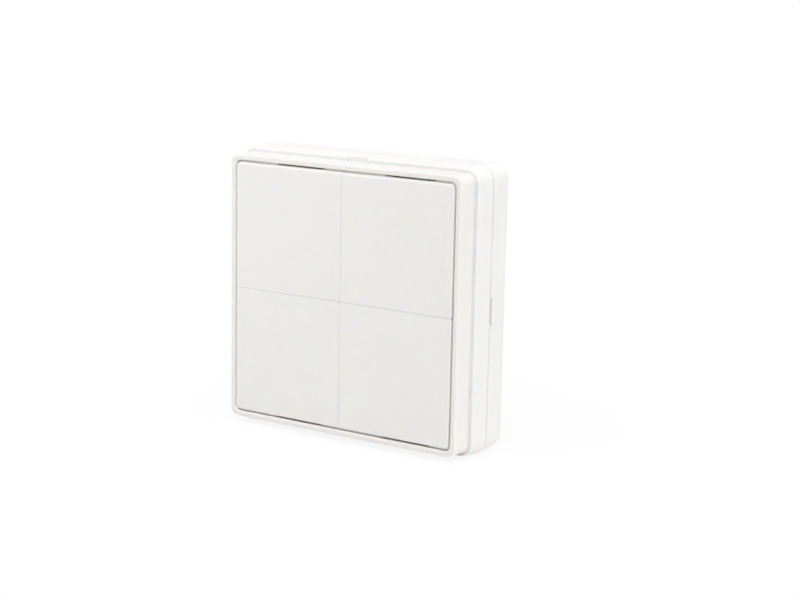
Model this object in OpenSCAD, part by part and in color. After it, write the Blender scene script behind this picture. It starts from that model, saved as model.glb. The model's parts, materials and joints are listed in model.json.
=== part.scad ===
// Square wireless wall button. Four caps rock in a front frame and press the switches of a
// battery-powered board, which a mid housing carries on a wall base.
// Every piece is drawn lying on its back, with the wall face at z = 0 and y as up, and then stood up.

/* [Shell] */
// Width and height of the shell at its widest, along the parting line
body_side = 86; // [84:1:100]
// Corner radius of the mid housing and the wall base
body_corner = 5; // [4:0.5:8]
// Thickness of the shell's side walls
shell_wall = 2; // [1.6:0.1:2.2]
// Depth of the wall base, from the wall to the parting line
base_depth = 9.2; // [9:0.1:12]
// Depth of the mid housing, from the parting line to the frame
mid_depth = 7.3; // [7:0.1:9]
// Thickness of the wall base's back
base_back = 1.6; // [1.4:0.1:2]
// How much the wall base draws in towards the wall on each side
base_draft = 0.2; // [0:0.05:0.4]
// How much the mid housing draws in towards the frame on each side
mid_draft = 0.6; // [0.2:0.05:0.8]
// Rounding of the wall base's rear edge
rear_round = 1; // [0.4:0.1:1.4]
// Rounding of the mid housing's front edge
mid_round = 0.7; // [0.3:0.1:1]
// Width of the shadow line along the parting line
shadow_w = 0.35; // [0.2:0.05:0.5]
// Depth of the shadow line
shadow_d = 0.8; // [0.4:0.1:1]

/* [Front frame] */
// How far the frame stands in from the shell's widest outline, on each side
frame_step = 2; // [1.8:0.1:3]
// Depth of the frame
frame_depth = 7.5; // [7.3:0.1:9]
// Width of the frame's front lip
frame_lip = 1.7; // [1.5:0.1:2.2]
// Outer corner radius of the frame
frame_corner = 2.5; // [2:0.1:4]
// Corner radius of the opening for the caps
opening_corner = 2; // [1.5:0.1:3]
// Rounding of the frame's outer front edge
frame_front_round = 0.5; // [0.3:0.1:1]
// Radius of the frame's flared foot, where it meets the mid housing
frame_foot = 0.6; // [0.3:0.05:0.7]
// Rounding of the opening's front edge
opening_round = 0.5; // [0.2:0.05:0.6]
// Width of one snap hook of the frame
hook_w = 8; // [6:0.5:10]
// Thickness of a snap hook
hook_t = 1.4; // [1.2:0.1:1.6]
// Distance between the two snap hooks on a side
hook_spread = 44; // [36:1:52]

/* [Caps] */
// Gap between the caps and the frame
cap_gap = 0.5; // [0.4:0.05:0.8]
// Gap between the caps' skirts and the frame, behind the faces
skirt_play = 0.15; // [0.12:0.01:0.3]
// Gap between the left and right caps
split_upright = 0.06; // [0.05:0.01:0.4]
// Gap between the upper and lower caps
split_level = 0.06; // [0.05:0.01:0.4]
// How far the caps lie behind the frame's lip
cap_recess = 0; // [0:0.05:0.4]
// Thickness of a cap's face
cap_plate = 1.5; // [1.3:0.1:1.8]
// Height of a cap's skirt, from its face
cap_skirt = 4.3; // [3.8:0.1:4.4]
// Thickness of a cap's skirt
cap_wall = 1; // [0.8:0.1:1.3]
// Radius of a cap's outer corner
cap_corner = 1.6; // [1.2:0.1:2.4]
// Radius of a cap's other corners
cap_inner_corner = 0.4; // [0.35:0.05:0.8]
// Rounding of a cap's front edges
cap_round = 0.15; // [0.1:0.05:0.3]
// Rounding of a cap's edge along the frame's top or bottom
cap_outer_round = 1; // [0.5:0.1:1.3]
// Width of the relief in the skirt along the frame's top or bottom
relief_w = 17; // [12:0.5:20]
// Height of skirt left above the relief
relief_edge = 1.7; // [1.6:0.1:2.4]
// Thickness of the ribs under a cap
rib_t = 1; // [0.8:0.1:1.4]
// Height of the ribs under a cap
rib_h = 1.2; // [0.8:0.1:1.4]

/* [Hinges] */
// Diameter of a hinge pin
pin_d = 2; // [1.6:0.1:2.2]
// Play of a hinge pin in its bore, all round
pin_play = 0.05; // [0.02:0.01:0.1]
// Distance of a cap's hinge line from the level split's centre
pivot_y = 2.4; // [2.2:0.1:3]
// Depth of the hinge line behind the caps' faces
pivot_depth = 3.4; // [3.1:0.1:3.4]
// Distance between a cap's two hinge blocks
hinge_spread = 26; // [22:0.5:28]
// Width of a hinge block
block_w = 3; // [2.4:0.1:4]
// Thickness of a cap's hinge lug
lug_t = 1.6; // [1.2:0.1:2]
// Gap between a lug and its hinge block
lug_gap = 0.5; // [0.3:0.05:0.6]

/* [Switches] */
// Width of a switch body
switch_side = 6; // [5.8:0.1:6.4]
// Height of a switch body with its cover
switch_h = 3.5; // [3.3:0.1:3.6]
// Thickness of a switch's metal cover
switch_cover_t = 0.2; // [0.15:0.05:0.3]
// Width of a switch leg
leg_w = 0.7; // [0.5:0.1:1]
// Distance between the two legs on a side of a switch
leg_pitch = 4.5; // [3.6:0.1:4.8]
// Diameter of a switch plunger
plunger_d = 3.5; // [3:0.1:3.8]
// Play of a plunger in its guide, all round
plunger_play = 0.05; // [0.02:0.01:0.1]
// Height of a plunger above the cover
plunger_rise = 0.8; // [0.7:0.05:1]
// Length of a plunger inside the switch
plunger_in = 2; // [1.6:0.1:2.3]
// Travel of a plunger
press_travel = 0.35; // [0.2:0.05:0.4]
// Distance from a cap's hinge line to its switch
press_arm = 22; // [18:0.5:26]
// Gap between a cap's nib and the plunger at rest
press_play = 0.08; // [0.05:0.01:0.15]
// Diameter of a cap's nib
nib_d = 3; // [2.4:0.1:3.4]

/* [Carrier] */
// Thickness of the carrier plate
carrier_t = 1.5; // [1.4:0.1:1.6]
// Height of the carrier plate above the board
carrier_lift = 2.3; // [2.2:0.1:2.4]
// Distance of a screw from the carrier's edges
screw_inset = 5.2; // [4.6:0.1:6]
// Diameter of a screw's shank
screw_d = 2; // [1.8:0.1:2.2]
// Diameter of a screw's head
screw_head_d = 3.8; // [3.6:0.1:4]
// Height of a screw's head
screw_head_h = 1.4; // [1.2:0.1:1.5]
// Length of a screw's shank
screw_l = 7.2; // [6.6:0.1:7.4]
// Diameter of a stop pad
pad_d = 4; // [3.4:0.1:4.4]
// Thickness of a stop pad
pad_t = 0.5; // [0.4:0.05:0.6]
// Distance between a cap's two stop pads
pad_spread = 16; // [12:0.5:17]
// Width of a cap's latch leg
latch_w = 4; // [3:0.1:5]
// Thickness of a latch leg
latch_t = 1.2; // [1:0.1:1.3]

/* [Board] */
// Distance of the board's edge inside the carrier's edge
board_inset = 1.2; // [1:0.1:2]
// Thickness of the board
board_t = 1.2; // [1:0.1:1.3]
// Height of the board above the deck of the mid housing
board_lift = 0.7; // [0.6:0.05:0.8]
// Width of the radio module
radio_w = 16; // [14:0.5:18]
// Height of the radio module
radio_h = 24; // [20:0.5:26]
// Thickness of the radio module's board
radio_t = 0.8; // [0.6:0.1:1]
// Height of the radio shield
shield_t = 1.8; // [1.4:0.1:2.2]

/* [Batteries] */
// Diameter of a cell
cell_d = 10.3; // [10:0.1:10.4]
// Length of a cell with its terminal
cell_l = 44.4; // [43.4:0.1:44.5]
// Rounding of a cell's shoulders
cell_round = 0.7; // [0.3:0.1:1]
// Distance between the two cells' axes
cell_pitch = 11; // [10.6:0.1:12]
// Height of the battery bay's centre, from the middle of the body
bay_y = -15; // [-18:0.5:-14]
// Play of the cells in depth
cell_play = 0.1; // [0.05:0.05:0.2]
// Room for the contacts at each end of the cells
contact_room = 2; // [1.8:0.1:2.6]
// Thickness of the contact strip
strip_t = 0.4; // [0.3:0.05:0.5]
// Thickness of the battery bay's walls and of the deck
deck_t = 1; // [0.9:0.1:1.2]

/* [Wall fixing] */
// Distance between the two wall screw slots
wall_screw_spacing = 60; // [56:0.5:62]
// Width of a wall screw slot
wall_slot_w = 4.4; // [3.6:0.1:5]
// Length of a wall screw slot
wall_slot_l = 8; // [7:0.5:10]
// Width of the pry slot in the wall base's rim
pry_slot_w = 7.2; // [6:0.2:9]
// Height of the pry slot
pry_slot_h = 1; // [0.5:0.05:1.2]
// Length of the ramp at each end of the pry slot
pry_ramp = 0.8; // [0.5:0.1:1.4]
// Width of the pry notch in the mid housing's front edge
pry_notch_w = 8; // [6:0.5:10]
// Depth of the pry notch
pry_notch = 1.3; // [0.8:0.1:1.4]

/* [Hidden] */
$fn = 64;
// Overlap of joined shapes and overrun of cuts
eps = 0.05;
over = 1;

SHELL_WHITE = [0.94, 0.94, 0.93];
BOARD_GREEN = [0.10, 0.35, 0.20];
METAL = [0.78, 0.78, 0.76];

// Outlines, as half widths from the middle
body_half = body_side / 2;
cavity_half = body_half - shell_wall;
cavity_corner = body_corner - shell_wall;
frame_side = body_side - 2 * frame_step;
opening_half = frame_side / 2 - frame_lip;
cap_outer = opening_half - cap_gap;
hook_play = 0.35;
carrier_half = opening_half - hook_t - 2 * hook_play;
carrier_corner = 3;
board_half = carrier_half - board_inset;
board_corner = 2;
board_play = 0.5;
flange_half = board_half + board_play;
screw_at = carrier_half - screw_inset;
// How far the edge profiles reach in, just short of their corners' centres
body_edge_in = body_corner - eps;
frame_edge_in = frame_corner - eps;
cap_edge_in = cap_inner_corner - eps;

// Heights above the wall
rim_z = base_depth;
frame_z = rim_z + mid_depth;
front_z = frame_z + frame_depth;
cap_face_z = front_z - cap_recess;
cap_under_z = cap_face_z - cap_plate;
cap_rim_z = cap_face_z - cap_skirt;
cell_z = base_back + cell_play + cell_d / 2;
deck_z = cell_z + cell_d / 2 + cell_play;
deck_top_z = deck_z + deck_t;
board_z = deck_top_z + board_lift;
board_top_z = board_z + board_t;
switch_top_z = board_top_z + switch_h;
plunger_top_z = switch_top_z + plunger_rise;
plunger_end_z = switch_top_z - plunger_in;
carrier_z = board_top_z + carrier_lift;
carrier_top_z = carrier_z + carrier_t;
pivot_z = cap_face_z - pivot_depth;

// Thickness of the frame's foot at its tip
foot_tip = 0.15;

// Inner flange of the mid housing, which the frame sits on
flange_t = 1.5;
flange_z = frame_z - flange_t;
hook_nose = 0.7;
hook_nose_h = 1.2;
hook_root_h = 1.9;

// Tongue of the mid housing inside the wall base, with its snap beads
tongue_t = 1.2;
tongue_play = 0.15;
tongue_h = 2.2;
tongue_half = cavity_half - tongue_play;
bead_r = 0.5;
bead_sink = 0.1;
bead_play = 0.1;
bead_l = 12;
bead_z = rim_z - tongue_h / 2;

// Caps, in the upper right quarter
cap_left = split_upright / 2;
cap_low = split_level / 2;
cap_mid = (cap_left + cap_outer) / 2;
press_angle = asin(press_travel / press_arm);
nib_y = pivot_y + press_arm;
nib_tip_z = plunger_top_z + press_play;
pin_r = pin_d / 2;
bore_r = pin_r + pin_play;
lug_wall = 0.4;
lug_r = pin_r + lug_wall;
block_wall = 0.5;
block_r = bore_r + block_wall;
block_clear = 0.4;
pin_end = 0.3;
latch_play = 0.3;
latch_nose = 0.8;
latch_nose_h = 1;
latch_clear = 0.4;
latch_y = flange_half - latch_clear - latch_nose - latch_t;
latch_lift = 0.05;
stop_in = 4.7;
stop_y = cap_outer - stop_in;
stop_play = 0.06;
stop_d = 3;
pad_top_z = carrier_top_z + pad_t;
stop_z = pad_top_z + (stop_y - pivot_y) * sin(press_angle) + stop_play;
// Ledge of the skirt, just below the rounding of the face, that fills the gap to the frame
skirt_out = cap_gap - skirt_play;
ledge_drop = 0.1;
ledge_z = cap_face_z - cap_outer_round - ledge_drop;
// The cut-out in each upper skirt lies this far to the right of the cap's middle
relief_shift = 4;

// Screws, their sleeves on the carrier and their bosses on the deck
head_play = 0.3;
sleeve_wall = 0.7;
sleeve_d = screw_head_d + 2 * (head_play + sleeve_wall);
counterbore = 1.2;
screw_seat_z = carrier_top_z - counterbore;
screw_end_z = screw_seat_z - screw_l;
shank_play = 0.05;
boss_wall = 1.5;
boss_d = screw_d + 2 * boss_wall;
boss_floor = 1;
boss_end_z = screw_end_z - boss_floor;
drive_l = 2;
drive_w = 0.5;

// Battery bay and contacts
bay_half_l = cell_l / 2 + contact_room;
bay_side_play = 0.4;
bay_half_w = (cell_pitch + cell_d) / 2 + bay_side_play;
bay_end_play = 0.3;
bay_wall_end_z = base_back + bay_end_play;
terminal_d = 4;
terminal_l = 0.9;
leaf_inset = 1;
contact_h = 7;
contact_w = 8;
contact_play = 0.1;
strip_x = bay_half_l - contact_play - strip_t;
bow_rise = strip_x - cell_l / 2 - contact_play;
tab_w = 2;
tab_play = 0.2;
tab_end = 0.3;
tab_end_z = board_top_z + tab_end;

// Radio module behind the upper half of the board
radio_y = 19;
radio_play = 2;
shield_inset = 1.5;
shield_h = 16;
shield_wall = 0.25;

// Gaps round a switch
switch_play = 0.3;
plunger_floor = 0.05;
cover_play = 0.3;
// Rounding of a plunger's top
plunger_round = 0.4;
// Melted stakes that hold a switch's cover, this far in from the body's sides
stake_d = 0.9;
stake_in = 0.9;
stake_rise = 0.25;
stake_play = 0.05;
stake_at = switch_side / 2 - stake_in;
// Legs of a switch: thickness, height up the body and length along the board
leg_t = 0.3;
leg_h = 1.2;
leg_foot = 1.1;

// Small soldered parts in a row
chip = [2, 1.2, 0.6];
chip_pitch = 3;
chip_count = 6;

// Shared helpers

// Stands a piece up against the wall, with its front towards -y
module stand_up() {
    rotate([90, 0, 0]) children();
}

module at_corners(x, y) {
    for (side = [-1, 1], level = [-1, 1]) translate([side * x, level * y, 0]) children();
}

module rounded_square(half, radius) {
    run = 2 * (half - radius);
    square([run, 2 * half], center = true);
    square([2 * half, run], center = true);
    at_corners(half - radius, half - radius) circle(radius);
}

module rounded_prism(half, radius, low, high) {
    translate([0, 0, low]) linear_extrude(high - low) rounded_square(half, radius);
}

// Carries a profile round a rounded square: x is outwards from the outline, y is height
module swept(half, radius) {
    run = 2 * (half - radius);
    for (turn = [0:90:270]) rotate(turn) {
        translate([half, run / 2, 0]) rotate([90, 0, 0]) linear_extrude(run) children();
        translate([run / 2, run / 2, 0]) rotate_extrude(angle = 90) translate([radius, 0]) children();
    }
}

// A solid block whose edge follows a profile that reaches in from the outline, just short of the
// corner's centre
module edged_block(half, radius, low, high) {
    core = half - radius + eps;
    translate([-core, -core, low]) cube([2 * core, 2 * core, high - low]);
    swept(half, radius) children();
}

// What a quarter round takes off a profile's corner at (x, y), where the corner points to (out, up)
module corner_off(x, y, r, out, up) {
    translate([x, y]) mirror([out < 0 ? 1 : 0, 0]) mirror([0, up < 0 ? 1 : 0])
        translate([-r, -r]) difference() {
            square(r + eps);
            circle(r);
        }
}

// Extrudes a profile of (y, z) along x, centred
module along_x(length) {
    rotate([90, 0, 90]) translate([0, 0, -length / 2]) linear_extrude(length) children();
}

// Extrudes a profile of (x, z) along y, centred
module along_y(length) {
    rotate([90, 0, 0]) translate([0, 0, -length / 2]) linear_extrude(length) children();
}

// Wall base

module base_profile() {
    difference() {
        polygon([
            [-body_edge_in, 0], [-base_draft, 0], [-base_draft, rear_round],
            [0, rim_z], [-body_edge_in, rim_z]
        ]);
        corner_off(-base_draft, 0, rear_round, 1, -1);
    }
}

module snap_beads(r) {
    for (turn = [0:90:270]) rotate(turn)
        translate([tongue_half - bead_sink, bead_l / 2, bead_z]) rotate([90, 0, 0])
            cylinder(r = r, h = bead_l);
}

module wall_slots() {
    run = wall_slot_l - wall_slot_w;
    for (side = [-1, 1]) translate([side * wall_screw_spacing / 2, 0, -over])
        linear_extrude(base_back + 2 * over) {
            square([run, wall_slot_w], center = true);
            for (end = [-1, 1]) translate([end * run / 2, 0]) circle(d = wall_slot_w);
        }
}

// Outline of the pry slot through the right-hand wall, with a ramp at each end
module pry_slot() {
    end = pry_slot_w / 2;
    outer = body_half + over;
    translate([cavity_half - eps, -end]) square([outer - cavity_half + eps, pry_slot_w]);
    for (level = [-1, 1]) polygon([
        [body_half - pry_ramp, level * (end - eps)], [body_half - pry_ramp, level * end],
        [outer, level * (end + pry_ramp + over)], [outer, level * (end - eps)]
    ]);
}

module wall_base() {
    color(SHELL_WHITE) stand_up() difference() {
        edged_block(body_half, body_corner, 0, rim_z) base_profile();
        rounded_prism(cavity_half, cavity_corner, base_back, rim_z + over);
        snap_beads(bead_r + bead_play);
        wall_slots();
        translate([0, 0, rim_z - pry_slot_h]) linear_extrude(pry_slot_h + over) pry_slot();
    }
}

// Mid housing

module mid_profile() {
    difference() {
        polygon([
            [-body_edge_in, rim_z], [-shadow_d, rim_z], [-shadow_d, rim_z + shadow_w],
            [0, rim_z + shadow_w], [-mid_draft, frame_z - mid_round], [-mid_draft, frame_z],
            [-body_edge_in, frame_z]
        ]);
        corner_off(-mid_draft, frame_z, mid_round, 1, 1);
    }
}

module tongue() {
    inner = tongue_half - tongue_t;
    difference() {
        rounded_prism(tongue_half, cavity_corner - tongue_play, rim_z - tongue_h, rim_z + eps);
        rounded_prism(inner, cavity_corner - tongue_play - tongue_t, rim_z - tongue_h - over, rim_z + over);
    }
    snap_beads(bead_r);
}

module battery_bay_walls() {
    long = bay_half_l + deck_t;
    wide = bay_half_w + deck_t;
    translate([0, bay_y, bay_wall_end_z]) difference() {
        translate([-long, -wide, 0]) cube([2 * long, 2 * wide, deck_z - bay_wall_end_z + eps]);
        translate([-bay_half_l, -bay_half_w, -over])
            cube([2 * bay_half_l, 2 * bay_half_w, deck_z - bay_wall_end_z + 2 * over]);
    }
}

module hook_slots() {
    inner = opening_half - hook_t - hook_play;
    long = hook_w + 2 * hook_play;
    for (turn = [0:90:270], side = [-1, 1]) rotate(turn)
        translate([inner, side * hook_spread / 2 - long / 2, flange_z - over])
            cube([hook_t + 2 * hook_play, long, flange_t + 2 * over]);
}

module tab_slots(low, high) {
    for (level = [-1, 1])
        translate([strip_x - tab_play, bay_y + level * cell_pitch / 2 - tab_w / 2 - tab_play, low])
            cube([strip_t + 2 * tab_play, tab_w + 2 * tab_play, high - low]);
}

// Room for a blade behind the frame's foot, in the middle of the top
module pry_notch_cut() {
    translate([-pry_notch_w / 2, frame_side / 2, frame_z - pry_notch])
        cube([pry_notch_w, body_half, pry_notch + over]);
}

module mid_housing() {
    inner_half = cavity_half - mid_draft;
    window_w = radio_w + 2 * radio_play;
    window_h = radio_h + 2 * radio_play;
    color(SHELL_WHITE) stand_up() {
        difference() {
            union() {
                difference() {
                    edged_block(body_half, body_corner, rim_z, frame_z) mid_profile();
                    rounded_prism(inner_half, cavity_corner, deck_top_z, flange_z);
                    rounded_prism(inner_half, cavity_corner, rim_z - over, deck_z);
                }
                battery_bay_walls();
                at_corners(screw_at, screw_at) translate([0, 0, boss_end_z])
                    cylinder(d = boss_d, h = board_z - boss_end_z);
            }
            rounded_prism(flange_half, board_corner, flange_z - over, frame_z + over);
            hook_slots();
            tab_slots(deck_z - over, deck_top_z + over);
            translate([-window_w / 2, radio_y - window_h / 2, deck_z - over])
                cube([window_w, window_h, deck_t + 2 * over]);
            at_corners(screw_at, screw_at) translate([0, 0, screw_end_z - shank_play])
                cylinder(d = screw_d + 2 * shank_play, h = board_z - screw_end_z + over);
            pry_notch_cut();
        }
        tongue();
    }
}

// Front frame

module frame_profile() {
    difference() {
        translate([-frame_edge_in, frame_z]) square([frame_edge_in, frame_depth]);
        corner_off(0, front_z, frame_front_round, 1, 1);
    }
    translate([0, frame_z]) difference() {
        translate([-eps, 0]) square([frame_foot + eps, foot_tip + frame_foot]);
        translate([frame_foot, foot_tip + frame_foot]) circle(frame_foot);
    }
}

module opening_flare() {
    translate([0, front_z - opening_round]) difference() {
        translate([-eps, 0]) square([opening_round + eps, opening_round + eps]);
        translate([opening_round, 0]) circle(opening_round);
    }
}

module frame_hooks() {
    inner = opening_half - hook_t;
    catch_z = flange_z - latch_lift;
    for (turn = [0:90:270], side = [-1, 1]) rotate(turn) translate([0, side * hook_spread / 2, 0])
        along_y(hook_w) polygon([
            [inner, frame_z + hook_root_h], [opening_half + hook_play, frame_z + hook_root_h],
            [opening_half + hook_play, frame_z + eps], [opening_half, frame_z + eps],
            [opening_half, catch_z], [opening_half + hook_nose, catch_z],
            [opening_half, catch_z - hook_nose_h], [inner, catch_z - hook_nose_h]
        ]);
}

module front_frame() {
    color(SHELL_WHITE) stand_up() {
        difference() {
            edged_block(frame_side / 2, frame_corner, frame_z, front_z) frame_profile();
            rounded_prism(opening_half, opening_corner, frame_z - over, front_z + over);
            swept(opening_half, opening_corner) opening_flare();
            pry_notch_cut();
        }
        frame_hooks();
    }
}

// Caps, drawn in the upper right quarter and mirrored to the others

module cap_edge_profile() {
    difference() {
        translate([-cap_edge_in, cap_rim_z]) square([cap_edge_in, cap_skirt]);
        corner_off(0, cap_face_z, cap_round, 1, 1);
    }
}

// One side of a cap's edge, between two points of its outline that run up its right-hand side
module cap_side(x, y, turn, length) {
    translate([x, y, 0]) rotate(turn) translate([0, length / 2, 0]) rotate([90, 0, 0])
        linear_extrude(length) cap_edge_profile();
}

module cap_turn(x, y, turn, radius) {
    translate([x, y, 0]) rotate(turn) rotate_extrude(angle = 90) translate([radius, 0]) cap_edge_profile();
}

module cap_block() {
    r = cap_inner_corner;
    big = cap_corner;
    wide = cap_outer - cap_left;
    tall = cap_outer - cap_low;
    edge_in = cap_edge_in;
    translate([0, 0, cap_rim_z]) linear_extrude(cap_skirt) difference() {
        translate([cap_left + edge_in, cap_low + edge_in])
            square([wide - 2 * edge_in, tall - 2 * edge_in]);
        corner_off(cap_outer - edge_in, cap_outer - edge_in, big - edge_in, 1, 1);
    }
    cap_side(cap_outer, (cap_low + r + cap_outer - big) / 2, 0, tall - r - big);
    cap_side((cap_left + r + cap_outer - big) / 2, cap_outer, 90, wide - r - big);
    cap_side(cap_left, cap_low + tall / 2, 180, tall - 2 * r);
    cap_side(cap_left + wide / 2, cap_low, 270, wide - 2 * r);
    cap_turn(cap_outer - big, cap_outer - big, 0, big);
    cap_turn(cap_left + r, cap_outer - r, 90, r);
    cap_turn(cap_left + r, cap_low + r, 180, r);
    cap_turn(cap_outer - r, cap_low + r, 270, r);
}

module hinge_lug(end) {
    face_x = cap_mid + end * (hinge_spread / 2 - block_w / 2 - lug_gap);
    pin_l = lug_t / 2 + lug_gap + block_w - pin_end;
    translate([face_x - end * lug_t / 2, 0, 0]) {
        along_x(lug_t) {
            translate([pivot_y, pivot_z]) circle(lug_r);
            translate([pivot_y - lug_r, pivot_z]) square([2 * lug_r, cap_under_z - pivot_z + eps]);
        }
        translate([0, pivot_y, pivot_z]) rotate([0, end * 90, 0]) cylinder(r = pin_r, h = pin_l);
    }
}

module cap_ribs() {
    rib_z = cap_under_z - rib_h;
    for (end = [-1, 1])
        translate([cap_mid + end * pad_spread / 2 - rib_t / 2, cap_low + cap_wall - eps, rib_z])
            cube([rib_t, cap_outer - cap_low - 2 * cap_wall + 2 * eps, rib_h + eps]);
    translate([cap_left + cap_wall - eps, nib_y - rib_t / 2, rib_z])
        cube([cap_outer - cap_left - 2 * cap_wall + 2 * eps, rib_t, rib_h + eps]);
}

module cap_latch() {
    catch_z = carrier_z - latch_lift;
    translate([cap_mid, 0, 0]) along_x(latch_w) polygon([
        [latch_y, cap_under_z + eps], [latch_y + latch_t, cap_under_z + eps],
        [latch_y + latch_t, catch_z], [latch_y + latch_t + latch_nose, catch_z],
        [latch_y + latch_t, catch_z - latch_nose_h], [latch_y, catch_z - latch_nose_h]
    ]);
}

// The lower part of the skirt, which stands out to the frame but for the relief
module cap_ledge(side) {
    out = cap_outer + skirt_out;
    translate([0, 0, cap_rim_z]) linear_extrude(ledge_z - cap_rim_z) difference() {
        translate([cap_left, cap_low]) square([out - cap_left, out - cap_low]);
        corner_off(out, out, cap_corner + skirt_out, 1, 1);
        translate([cap_mid + side * relief_shift - relief_w / 2, cap_outer])
            square([relief_w, skirt_out + over]);
    }
}

// Rolls a cap's edge off along the frame's top or bottom
module cap_roll() {
    translate([cap_mid, 0, 0]) along_x(cap_outer - cap_left + 2 * over)
        corner_off(cap_outer, cap_face_z, cap_outer_round, 1, 1);
}

module cap_quarter(side) {
    wide = cap_outer - cap_left - 2 * cap_wall;
    tall = cap_outer - cap_low - 2 * cap_wall;
    hollow_h = cap_under_z - cap_rim_z + over;
    difference() {
        union() {
            cap_block();
            cap_ledge(side);
        }
        translate([cap_left + cap_wall, cap_low + cap_wall, cap_rim_z - over])
            cube([wide, tall, hollow_h]);
        cap_roll();
        // Room for the hinge blocks in the skirt along the level split
        for (end = [-1, 1]) translate([cap_mid + end * hinge_spread / 2, cap_low - over, cap_rim_z - over])
            translate([-block_w / 2 - block_clear, 0, 0])
                cube([block_w + 2 * block_clear, cap_wall + 2 * over, hollow_h]);
        // Relief in the skirt along the frame
        translate([cap_mid + side * relief_shift, cap_outer - cap_wall - over, cap_rim_z - over])
            translate([-relief_w / 2, 0, 0])
                cube([relief_w, cap_wall + 2 * over, cap_skirt - relief_edge + over]);
    }
    for (end = [-1, 1]) hinge_lug(end);
    cap_ribs();
    cap_latch();
    translate([cap_mid, nib_y, nib_tip_z]) cylinder(d = nib_d, h = cap_under_z - nib_tip_z + eps);
    for (end = [-1, 1]) translate([cap_mid + end * pad_spread / 2, stop_y, stop_z])
        cylinder(d = stop_d, h = cap_under_z - stop_z + eps);
}

// A quarter's piece on its own side, -1 left and 1 right, and level, -1 bottom and 1 top
module in_quarter(side, level) {
    mirror([side < 0 ? 1 : 0, 0, 0]) mirror([0, level < 0 ? 1 : 0, 0]) children();
}

module cap(side, level) {
    color(SHELL_WHITE) stand_up() in_quarter(side, level) cap_quarter(side);
}

// Carrier

module hinge_block() {
    along_x(block_w) {
        for (level = [-1, 1]) translate([level * pivot_y, pivot_z]) circle(block_r);
        translate([-pivot_y, pivot_z]) square([2 * pivot_y, block_r]);
        translate([-pivot_y - block_r, carrier_top_z - eps])
            square([2 * (pivot_y + block_r), pivot_z - carrier_top_z + eps]);
    }
}

module at_hinges() {
    for (side = [-1, 1], end = [-1, 1])
        translate([side * (cap_mid + end * hinge_spread / 2), 0, 0]) children();
}

module button_carrier() {
    window = switch_side + 2 * switch_play;
    slot_low = latch_y - latch_play;
    slot_h = latch_t + 2 * latch_play;
    color([0.86, 0.86, 0.85]) stand_up() difference() {
        union() {
            rounded_prism(carrier_half, carrier_corner, carrier_z, carrier_top_z);
            at_hinges() hinge_block();
            at_corners(screw_at, screw_at) translate([0, 0, board_top_z])
                cylinder(d = sleeve_d, h = carrier_lift + eps);
        }
        at_hinges() for (level = [-1, 1])
            translate([-block_w / 2 - over, level * pivot_y, pivot_z]) rotate([0, 90, 0])
                cylinder(r = bore_r, h = block_w + 2 * over);
        for (side = [-1, 1], level = [-1, 1]) in_quarter(side, level) {
            translate([cap_mid - window / 2, nib_y - window / 2, carrier_z - over])
                cube([window, window, carrier_t + 2 * over]);
            translate([cap_mid - latch_w / 2 - latch_play, slot_low, carrier_z - over])
                cube([latch_w + 2 * latch_play, slot_h, carrier_t + 2 * over]);
        }
        at_corners(screw_at, screw_at) {
            translate([0, 0, board_top_z - over])
                cylinder(d = screw_d + 2 * shank_play, h = carrier_top_z - board_top_z + 2 * over);
            translate([0, 0, screw_seat_z])
                cylinder(d = screw_head_d + 2 * head_play, h = counterbore + over);
        }
    }
}

module stop_pads() {
    color([0.20, 0.20, 0.21]) stand_up() for (side = [-1, 1], level = [-1, 1], end = [-1, 1])
        in_quarter(side, level) translate([cap_mid + end * pad_spread / 2, stop_y, carrier_top_z])
            cylinder(d = pad_d, h = pad_t);
}

module carrier_screws() {
    color(METAL) stand_up() at_corners(screw_at, screw_at) difference() {
        union() {
            translate([0, 0, screw_end_z]) cylinder(d = screw_d, h = screw_l + eps);
            translate([0, 0, screw_seat_z]) cylinder(d = screw_head_d, h = screw_head_h);
        }
        for (turn = [0, 90]) rotate(turn) translate([0, 0, screw_seat_z + screw_head_h])
            cube([drive_l, drive_w, screw_head_h], center = true);
    }
}

// Board and switches

module circuit_board() {
    color(BOARD_GREEN) stand_up() difference() {
        rounded_prism(board_half, board_corner, board_z, board_top_z);
        at_corners(screw_at, screw_at) translate([0, 0, board_z - over])
            cylinder(d = screw_d + 2 * head_play, h = board_t + 2 * over);
        tab_slots(board_z - over, board_top_z + over);
    }
}

module switch_body(side, level) {
    h = switch_h - switch_cover_t;
    bore_z = plunger_end_z - press_travel - plunger_floor;
    color([0.12, 0.12, 0.13]) stand_up() in_quarter(side, level) translate([cap_mid, nib_y, 0]) {
        difference() {
            translate([-switch_side / 2, -switch_side / 2, board_top_z]) cube([switch_side, switch_side, h]);
            translate([0, 0, bore_z])
                cylinder(d = plunger_d + 2 * plunger_play, h = switch_top_z - bore_z + over);
        }
        at_corners(stake_at, stake_at) translate([0, 0, board_top_z + h - eps])
            cylinder(d = stake_d, h = switch_cover_t + stake_rise + eps);
    }
}

module switch_plunger(side, level) {
    r = plunger_d / 2;
    h = plunger_top_z - plunger_end_z;
    color([0.16, 0.16, 0.17]) stand_up() in_quarter(side, level) translate([cap_mid, nib_y, plunger_end_z])
        rotate_extrude() difference() {
            square([r, h]);
            corner_off(r, h, plunger_round, 1, 1);
        }
}

module switch_covers() {
    hole_d = plunger_d + 2 * cover_play;
    color(METAL) stand_up() for (side = [-1, 1], level = [-1, 1]) in_quarter(side, level)
        translate([cap_mid, nib_y, switch_top_z - switch_cover_t]) difference() {
            translate([-switch_side / 2, -switch_side / 2, 0])
                cube([switch_side, switch_side, switch_cover_t]);
            translate([0, 0, -over]) cylinder(d = hole_d, h = switch_cover_t + 2 * over);
            at_corners(stake_at, stake_at) translate([0, 0, -over])
                cylinder(d = stake_d + 2 * stake_play, h = switch_cover_t + 2 * over);
        }
}

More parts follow.
